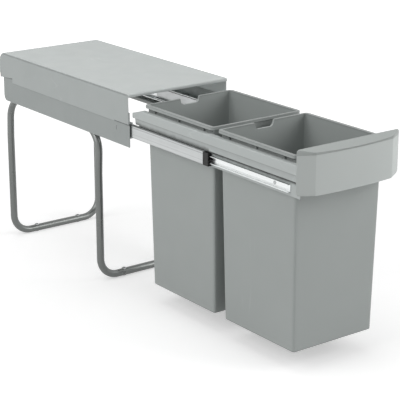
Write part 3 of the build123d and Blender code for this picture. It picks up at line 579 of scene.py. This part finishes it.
def blend_colour(tree, mask, base, over):
    """Base colour where the mask is 0 and the other where it is 1."""
    node = put(tree, "ShaderNodeMix", {"Factor": mask}, data_type="RGBA")
    for socket, value in ((node.inputs[6], base), (node.inputs[7], over)):
        if isinstance(value, bpy.types.NodeSocket):
            tree.links.new(value, socket)
        else:
            socket.default_value = value
    return node.outputs[2]


def finish(name):
    """A new material with its shader, and the object's own coordinates."""
    material = bpy.data.materials.new(name)
    material.use_nodes = True
    tree = material.node_tree
    tree.nodes.clear()
    shader = tree.nodes.new("ShaderNodeBsdfPrincipled")
    out = tree.nodes.new("ShaderNodeOutputMaterial")
    tree.links.new(shader.outputs[0], out.inputs["Surface"])
    place = tree.nodes.new("ShaderNodeTexCoord").outputs["Object"]
    return material, tree, shader, place


def roughen(tree, shader, mottle, low, high):
    """Roughness that wanders between two values with a slow noise."""
    spread = put(tree, "ShaderNodeMapRange", {"Value": mottle, "From Min": 0.3, "From Max": 0.7,
                                              "To Min": low, "To Max": high})
    tree.links.new(spread.outputs[0], shader.inputs["Roughness"])


def raise_surface(tree, shader, height, distance, strength):
    """Bump from a height pattern, with its full height in metres."""
    bump = put(tree, "ShaderNodeBump", {"Height": height, "Distance": distance, "Strength": strength})
    tree.links.new(bump.outputs[0], shader.inputs["Normal"])


def seam(height, width, amount, front=NO_FRONT_END, rear=NO_REAR_END, inside=0.0):
    """One level band of painted shade. The shade reaches down from its height, or up if its width is
    negative.
    """
    place = {"Height": height, "Width": width, "Front": front, "Rear": rear, "Inside": inside}
    return place, amount


def paint_seam_shade(tree, place, tone, colour, seams):
    """Darkens a tone along its seams: painted shade where parts meet, overhang or fold."""
    dark = linear([0.35 * c for c in colour])
    for where, amount in seams:
        shade_mask = effect(tree, "seam_grime", {"Position": place, **where})
        tone = blend_colour(tree, maths(tree, "MULTIPLY", shade_mask.outputs[0], amount), tone, dark)
    return tone


def drifting(tree, place, colour, scale, amount):
    """A colour with slow drift over the surface."""
    drift = effect(tree, "tone_drift", {
        "Color": linear(colour), "Position": place, "Scale": scale, "Amount": amount})
    return drift.outputs["Color"]


def worn(tree, place, tone, pale, scuffs, scuff_amount, rub, rub_amount, dust):
    """A tone with pale scuffs, pale rubbed edges where rub gives a box, and settled dust."""
    marks = effect(tree, "scuffs", {"Position": place, **scuffs})
    tone = blend_colour(tree, maths(tree, "MULTIPLY", marks.outputs[0], scuff_amount), tone, pale)
    if rub:
        centre, half = rub
        edges = effect(tree, "edge_rub", {
            "Position": place, "Centre": centre, "Half": half, "Width": RUB_WIDTH})
        tone = blend_colour(tree, maths(tree, "MULTIPLY", edges.outputs[0], rub_amount), tone, pale)
    if dust:
        settled = effect(tree, "settled_dust", {"Position": place, "Amount": dust})
        tone = blend_colour(tree, settled.outputs[0], tone, linear(DUST_COLOUR))
    return tone


def powder_coat(name, colour, rub=None, dust=0.0, seams=(), metal=0.0, rough=(0.46, 0.6), peel=0.6,
                inner_painted_light=None):
    """Satin powder coat: orange-peel bump, slow tone drift, faint scuffs, rubbed edges, some dust and painted
    shade along seams. An inner painted light is a distance from the middle plane and a paler colour nearer to
    it: painted light on inner faces that lie in shade.
    """
    material, tree, shader, place = finish(name)
    tone = drifting(tree, place, colour, 5.0, 0.035)
    pale = linear([min(1.0, c * 1.1) for c in colour])
    scuffs = {"Scale": 9.0, "Stretch": (1.0, 0.35, 1.4), "Share": 0.42}
    tone = worn(tree, place, tone, pale, scuffs, 0.35, rub, 0.4, dust)
    if inner_painted_light:
        # Painted light: inner faces nearer to the middle plane than the reach take a paler colour
        reach, inner_lit_colour = inner_painted_light
        side = put(tree, "ShaderNodeSeparateXYZ", {0: place}).outputs["X"]
        inner = maths(tree, "LESS_THAN", maths(tree, "ABSOLUTE", side), reach)
        tone = blend_colour(tree, inner, tone, drifting(tree, place, inner_lit_colour, 7.0, 0.06))
    tone = paint_seam_shade(tree, place, tone, colour, seams)
    tree.links.new(tone, shader.inputs["Base Color"])
    shader.inputs["Metallic"].default_value = metal
    skin = effect(tree, "fine_grain", {"Position": place, "Scale": 700.0})
    roughen(tree, shader, skin.outputs["Mottle"], *rough)
    raise_surface(tree, shader, skin.outputs["Height"], 0.06 * MM, peel)
    shader.inputs["Specular IOR Level"].default_value = 0.32
    return material


def moulding(name, colour, grain=520.0, rough=(0.42, 0.55), rub=None, dust=0.0, seams=()):
    """Moulded plastic: spark-eroded grain, slow tone drift, faint drag marks, rubbed edges, some dust and
    painted shade along seams.
    """
    material, tree, shader, place = finish(name)
    tone = drifting(tree, place, colour, 4.0, 0.03)
    pale = linear([min(1.0, c * 1.12) for c in colour])
    scuffs = {"Scale": 7.0, "Stretch": (1.0, 1.0, 0.3), "Share": 0.4}
    tone = worn(tree, place, tone, pale, scuffs, 0.3, rub, 0.35, dust)
    tone = paint_seam_shade(tree, place, tone, colour, seams)
    tree.links.new(tone, shader.inputs["Base Color"])
    texture = effect(tree, "fine_grain", {"Position": place, "Scale": grain})
    roughen(tree, shader, texture.outputs["Mottle"], *rough)
    raise_surface(tree, shader, texture.outputs["Height"], 0.1 * MM, 0.5)
    shader.inputs["Specular IOR Level"].default_value = 0.42
    return material


def drawn_zinc(name, colour, rough=(0.24, 0.38), seams=()):
    """Zinc-plated steel drawn along the runner: fine lines, darker streaks, patchy gloss and painted shade
    along seams.
    """
    material, tree, shader, place = finish(name)
    tone = drifting(tree, place, colour, 14.0, 0.06)
    drawn = effect(tree, "drawn_lines", {"Position": place})
    streak = put(tree, "ShaderNodeMapRange", {
        "Value": drawn.outputs["Tone"], "From Min": 0.3, "From Max": 0.7, "To Min": 0.0, "To Max": 0.35})
    darker = linear([c * 0.86 for c in colour])
    tone = blend_colour(tree, streak.outputs[0], tone, darker)
    tone = paint_seam_shade(tree, place, tone, colour, seams)
    tree.links.new(tone, shader.inputs["Base Color"])
    patch = effect(tree, "fine_grain", {"Position": place, "Scale": 1600.0})
    roughen(tree, shader, patch.outputs["Mottle"], *rough)
    raise_surface(tree, shader, drawn.outputs["Height"], 0.03 * MM, 0.5)
    shader.inputs["Metallic"].default_value = 1.0
    return material


def box_of(*names):
    """Centre and half size of the CAD nodes named, for a pattern that follows their edges."""
    boxes = [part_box(name) for name in names]
    low = np.min([tuple(b[0]) for b in boxes], axis=0)
    high = np.max([tuple(b[1]) for b in boxes], axis=0)
    return tuple((low + high) / 2), tuple((high - low) / 2)


# Where the painted shade lies, read from the CAD nodes' boxes
LID_BOX = box_of("lid_panel")
skirt_low, skirt_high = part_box("skirt_left")
carriage_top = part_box("carriage_side_left")[1].z
bumper_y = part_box("rail_bumper_left")[0].y
rail_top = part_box("middle_rail_left")[1].z
bin_bottom, bin_top = (corner.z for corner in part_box("rear_bin"))
SEAM_END_LENGTH = 54 * MM
rear_part, front_part = skirt_high.y - SEAM_END_LENGTH, skirt_low.y + SEAM_END_LENGTH
crease = carriage_top - 17.6 * MM

# Painted shade under the lid, and where the skirt's lower edge lies over the plate: a thin line up to its
# rear part, darker in its front part, and a higher line in its rear part
SKIRT_SEAMS = [seam(skirt_high.z + 0.5 * MM, 5 * MM, 0.4)]
PLATE_SEAMS = [seam(skirt_low.z + 2 * MM, 5 * MM, 0.4, rear=rear_part),
               seam(skirt_low.z + 2.5 * MM, 4 * MM, 0.9, rear=front_part),
               seam(skirt_low.z + 11 * MM, 6 * MM, 0.6, front=rear_part)]

# Painted shade at the crease and under it, in the gap above the middle rail and in the gap above the inner
# rail
CARRIAGE_SEAMS = [seam(crease, 2.5 * MM, 0.28),
                  seam(crease, 15 * MM, 0.16),
                  seam(rail_top + 3 * MM, -10 * MM, 0.85, front=bumper_y),
                  seam(rail_top + 0.3 * MM, 6.5 * MM, 1.0, rear=bumper_y)]

# Painted shade in the groove near the rail's top, and a fainter dark line below its middle
RAIL_SEAMS = [seam(rail_top - 3.2 * MM, 1.8 * MM, 0.6),
              seam(rail_top - 16.5 * MM, 1.5 * MM, 0.2)]

# Painted shade under the rim on the outside, painted shade that tones down the rim's lit top, and a dark line
# at the bin's foot
BIN_SEAMS = [seam(bin_top - RIM_DROP + 0.2 * MM, 9 * MM, 0.9, inside=BIN_MOUTH_HALF[0] - 0.9 * MM),
             seam(bin_top + 0.2 * MM, 5 * MM, 0.3),
             seam(bin_bottom - 0.1 * MM, -2.6 * MM, 0.9)]

# Finishes: one for each material slot of the CAD record, and below them one for the side plates and
# one for the middle rails
PANEL_BOX = box_of("front_panel", "grip_strip")
# A paler tone on the skirts' inner faces: painted light where the lid shades them
INNER_PAINTED_LIGHT = (-skirt_low.x - 0.5 * MM, (0.87, 0.89, 0.885))
finishes = {
    "painted_lid": powder_coat("lid_powder_coat", (0.74, 0.76, 0.755), rub=LID_BOX, dust=0.08),
    "painted_housing": powder_coat("skirt_powder_coat", (0.68, 0.70, 0.695), seams=SKIRT_SEAMS,
                                   inner_painted_light=INNER_PAINTED_LIGHT),
    "tube_coat": powder_coat("tube_powder_coat", (0.475, 0.486, 0.48), metal=0.6,
                             rough=(0.26, 0.34), peel=0.2),
    "painted_carriage": powder_coat("carriage_powder_coat", (0.73, 0.75, 0.745), seams=CARRIAGE_SEAMS),
    "rail_steel": drawn_zinc("runner_zinc", (0.91, 0.92, 0.92)),
    "cage_steel": drawn_zinc("cage_zinc", (0.66, 0.66, 0.64), rough=(0.35, 0.5)),
    "ball_steel": drawn_zinc("polished_ball_steel", (0.80, 0.80, 0.81), rough=(0.08, 0.14)),
    "zinc_steel": drawn_zinc("fixing_zinc", (0.70, 0.71, 0.71), rough=(0.3, 0.45)),
    "black_plastic": moulding("runner_black_moulding", (0.045, 0.045, 0.045), grain=1100.0,
                              rough=(0.45, 0.6)),
    "panel_plastic": moulding("panel_moulding", (0.74, 0.76, 0.752), rub=PANEL_BOX),
    "grip_plastic": moulding("grip_moulding", (0.645, 0.664, 0.656), grain=800.0, rub=PANEL_BOX),
    "bin_plastic": moulding("bin_moulding", (0.638, 0.658, 0.651), rough=(0.38, 0.52), dust=0.08,
                            seams=BIN_SEAMS),
}
# The side plates take the skirts' paint in a darker tone: painted shade
plate_shaded_coat = powder_coat("plate_powder_coat", (0.622, 0.642, 0.637), seams=PLATE_SEAMS)
middle_zinc = drawn_zinc("middle_runner_zinc", (0.735, 0.745, 0.745), rough=(0.28, 0.4), seams=RAIL_SEAMS)
slot_of = {part["node"]: part["material_slot"] for part in frame["record"]["subparts"]}
body_of = {node: body for body, members in frame["record"]["behaviour"]["bodies"].items() for node in members}
own_finish = {"side_plate_left": plate_shaded_coat, "side_plate_right": plate_shaded_coat,
              "middle_rail_left": middle_zinc, "middle_rail_right": middle_zinc}
for name, node in nodes.items():
    node.data.materials.clear()
    node.data.materials.append(own_finish.get(name, finishes[slot_of[name]]))


def goes_with(piece, name):
    """Puts a finished piece on the body of a CAD node, with that node's finish."""
    piece.data.materials.clear()
    piece.data.materials.append(own_finish.get(name, finishes[slot_of[name]]))
    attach(piece, body_of[name])


def stands_for(piece, *names):
    """Puts a finished piece in place of its CAD nodes."""
    goes_with(piece, names[0])
    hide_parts(*names)


# Pieces in place
for bin_name in ("rear_bin", "front_bin"):
    stands_for(bin_piece(bin_name), bin_name)
    low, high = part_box(bin_name)
    profile = stud_profile(high.z - SEAT_DEPTH, high.z - RIM_DROP + 1 * MM, STUD_RADIUS)
    for side, edge_x in (("left", low.x + STUD_INSET), ("right", high.x - STUD_INSET)):
        for n, along in enumerate(STUD_PLACES):
            centre = (edge_x, (low.y + high.y) / 2 + along, 0)
            stud = turned_piece(f"{bin_name}_stud_{side}_{n}", profile, centre, "Z")
            goes_with(stud, bin_name)

stands_for(lid_piece("lid_panel"), "lid_panel")

for name, width in (("carriage_side", 0.35 * MM), ("side_plate", 0.35 * MM), ("skirt", 0.3 * MM),
                    ("rail_bumper", 0.5 * MM), ("release_lever", 0.4 * MM)):
    for side in ("_left", "_right"):
        stands_for(softened_piece(name + side, width), name + side)
for name in ("rear_cross_bar", "carriage_front_bar", "carriage_middle_bar", "carriage_rear_bar"):
    stands_for(softened_piece(name, 0.35 * MM), name)

panel_low, panel_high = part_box("front_panel")
grip_low, grip_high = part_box("grip_strip")
panel_box = panel_low, grip_high


def level(height):
    """A height that is the same at every y."""
    return lambda y: height + 0 * y


def panel_top(y):
    """Height of the panel's top, which falls from the back to the front."""
    return grip_high.z - PANEL_BAND * (grip_high.y - y) / (grip_high.y - panel_low.y)


panel_seam = level(grip_low.z)
panel_skin = panel_piece("front_panel_skin", panel_box, level(panel_low.z), panel_seam)
stands_for(panel_skin, "front_panel")
stands_for(panel_piece("grip_strip_skin", panel_box, panel_seam, panel_top), "grip_strip")

boss_root = grip_high.y - BOSS_ROOT
boss_corners = np.array([[0, boss_root], [BOSS_RADIUS + BOSS_DRAFT, boss_root],
                         [BOSS_RADIUS, panel_high.y], [0, panel_high.y]])
boss_profile = eased(boss_corners, 0.4 * MM, 0.3 * MM, 4)
for n, (x, z) in enumerate(BOSS_PLACES):
    goes_with(turned_piece(f"panel_boss_{n}", boss_profile, (x, 0, z), "Y"), "front_panel")


# Studio
AMBIENT = 0.36
FLOOR_EXTENT = 12.0
FLOOR_TONE = (0.78, 0.78, 0.78)
FLOOR_LIFT = 0.42
FLOOR_FAR_LIFT = 0.95
FLOOR_LIFT_FROM = 0.7
FLOOR_LIFT_TO = 2.6
FLOOR_MIDDLE = (0, -0.3, 0)
PART_MIDDLE = (0, -0.3, 0.25)
OVERHEAD_POWER = 18.0
FRONT_POWER = 58.0
SIDE_POWER = 38.0


def lamp(name, place, target, size, power):
    """Soft square lamp at a place, aimed at a point."""
    light = bpy.data.lights.new(name, "AREA")
    light.shape = "SQUARE"
    light.size = size
    light.energy = power
    holder = bpy.data.objects.new(name, light)
    bpy.context.scene.collection.objects.link(holder)
    way = np.array(target) - np.array(place)
    across = math.hypot(way[0], way[1])
    holder.location = place
    holder.rotation_euler = (math.atan2(across, -way[2]), 0, math.atan2(-way[0], way[1]))


def seen_directly(tree):
    """1 for rays that show the background: from the camera, off a glossy face or through glass."""
    ray = tree.nodes.new("ShaderNodeLightPath")
    seen = maths(tree, "MAXIMUM", ray.outputs["Is Camera Ray"], ray.outputs["Is Glossy Ray"])
    return maths(tree, "MAXIMUM", seen, ray.outputs["Is Transmission Ray"])


def studio():
    """Pale floor, white surroundings and soft lamps."""
    world = bpy.data.worlds.new("studio")
    bpy.context.scene.world = world
    world.use_nodes = True
    tree = world.node_tree
    tree.nodes.clear()
    strength = put(tree, "ShaderNodeMapRange",
                   {"Value": seen_directly(tree), "To Min": AMBIENT, "To Max": 1.0})
    sky = put(tree, "ShaderNodeBackground", {"Color": (1, 1, 1, 1), "Strength": strength.outputs[0]})
    out = tree.nodes.new("ShaderNodeOutputWorld")
    tree.links.new(sky.outputs[0], out.inputs["Surface"])

    corners = [(x * FLOOR_EXTENT, y * FLOOR_EXTENT, 0) for x, y in ((-1, -1), (1, -1), (1, 1), (-1, 1))]
    mesh = bpy.data.meshes.new("studio_floor")
    mesh.from_pydata(corners, [], [(0, 1, 2, 3)])
    floor = bpy.data.objects.new("studio_floor", mesh)
    bpy.context.scene.collection.objects.link(floor)
    material = bpy.data.materials.new("studio_floor")
    material.use_nodes = True
    tree = material.node_tree
    tree.nodes.clear()
    matt = put(tree, "ShaderNodeBsdfDiffuse", {"Color": (*FLOOR_TONE, 1)})
    place = tree.nodes.new("ShaderNodeTexCoord").outputs["Object"]
    reach = put(tree, "ShaderNodeVectorMath", {0: place, 1: FLOOR_MIDDLE}, operation="DISTANCE")
    lift = put(tree, "ShaderNodeMapRange", {
        "Value": reach.outputs["Value"], "From Min": FLOOR_LIFT_FROM, "From Max": FLOOR_LIFT_TO,
        "To Min": FLOOR_LIFT, "To Max": FLOOR_FAR_LIFT}, interpolation_type="SMOOTHSTEP")
    lift = maths(tree, "MULTIPLY", seen_directly(tree), lift.outputs[0])
    glow = put(tree, "ShaderNodeEmission", {"Color": (1, 1, 1, 1), "Strength": lift})
    both = put(tree, "ShaderNodeAddShader", {0: matt.outputs[0], 1: glow.outputs[0]})
    out = tree.nodes.new("ShaderNodeOutputMaterial")
    tree.links.new(both.outputs[0], out.inputs["Surface"])
    mesh.materials.append(material)

    lamp("overhead_softbox", (-0.2, 0.0, 2.7), PART_MIDDLE, 2.0, OVERHEAD_POWER)
    lamp("front_softbox", (2.3, -2.9, 1.9), PART_MIDDLE, 2.4, FRONT_POWER)
    lamp("side_softbox", (-2.7, -0.1, 2.0), PART_MIDDLE, 2.2, SIDE_POWER)


studio()

# Camera, at the photograph's viewing angle
CAMERA_PLACE = (-1.6967, -2.6586, 1.1196)
CAMERA_TURN = 36.743
CAMERA_PITCH = -17.75
CAMERA_LENS = 130.4
camera_data = bpy.data.cameras.new("camera")
camera_data.sensor_width = 36.0
camera_data.lens = CAMERA_LENS
camera = bpy.data.objects.new("camera", camera_data)
bpy.context.scene.collection.objects.link(camera)
camera.location = CAMERA_PLACE
camera.rotation_euler = (math.radians(90 + CAMERA_PITCH), 0, math.radians(-CAMERA_TURN))
bpy.context.scene.camera = camera

bpy.context.scene.view_settings.view_transform = "Standard"
